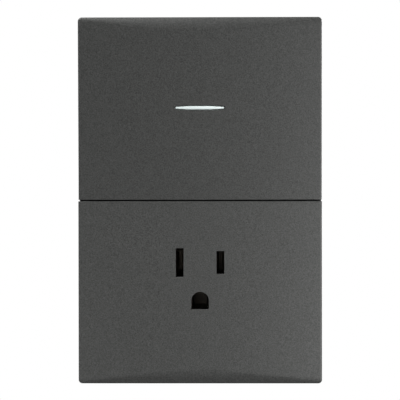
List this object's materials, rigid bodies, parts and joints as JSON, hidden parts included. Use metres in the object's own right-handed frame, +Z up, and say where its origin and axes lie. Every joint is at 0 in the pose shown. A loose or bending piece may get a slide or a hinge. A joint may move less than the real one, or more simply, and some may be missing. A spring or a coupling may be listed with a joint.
{
  "type": "switch and socket combination",
  "caption": "Flush wall plate with a large rocker switch above a three-pin earthed outlet, on a steel strap with two moulded modules behind it.",
  "frame": {"origin": "middle of the two box-screw slots, in the plane of the wall that the trim frame rests on", "axes": "+X to the right seen from the room, +Y into the wall, +Z up; the face looks towards -Y"},
  "size_m": [0.076, 0.0306, 0.1144],
  "materials": {
    "graphite_plastic": "satin, fine metallic grain",
    "white_plastic": "satin",
    "black_plastic": "matte",
    "grey_plastic": "matte",
    "cream_plastic": "satin",
    "zinc_steel": "zinc plated",
    "spring_steel": "drawn wire",
    "brass": "stamped strip",
    "copper": "stamped copper strip",
    "silver": "contact silver",
    "green_steel": "green dyed zinc"
  },
  "bodies": {
    "mounting_frame": {"outlet_panel": "graphite_plastic", "trim_frame": "black_plastic", "mounting_strap": "zinc_steel", "switch_cover": "grey_plastic", "outlet_cover": "black_plastic", "switch_housing": "cream_plastic", "outlet_housing": "cream_plastic", "common_terminal": "brass", "upper_fixed_terminal": "brass", "lower_fixed_terminal": "brass", "fixed_rivets": "silver", "live_contact": "brass", "neutral_contact": "brass", "earth_contact": "brass", "module_screws": "zinc_steel", "frame_screws": "zinc_steel", "switch_terminal_screws": "brass", "live_terminal_screw": "brass", "neutral_terminal_screw": "zinc_steel", "earth_terminal_screw": "green_steel"},
    "rocker": {"rocker_key": "graphite_plastic", "indicator_bar": "white_plastic", "rocker_carrier": "grey_plastic", "plunger_spring": "spring_steel", "plunger": "cream_plastic"},
    "lever": {"contact_lever": "copper", "lever_rivets": "silver"}
  },
  "joints": [
    {"name": "rocker_tilt", "type": "hinge", "parent": "mounting_frame", "child": "rocker", "pos_m": [0, -0.004, 0.02873], "axis": [-1, 0, 0], "range_deg": [0, 5]},
    {"name": "lever_tilt", "type": "hinge", "parent": "mounting_frame", "child": "lever", "pos_m": [0, 0.0136, 0.02873], "axis": [-1, 0, 0], "range_deg": [-15, 0]}
  ],
  "couplings": [
    {"joint": "lever_tilt", "follows": "rocker_tilt", "ratio": -3}
  ]
}
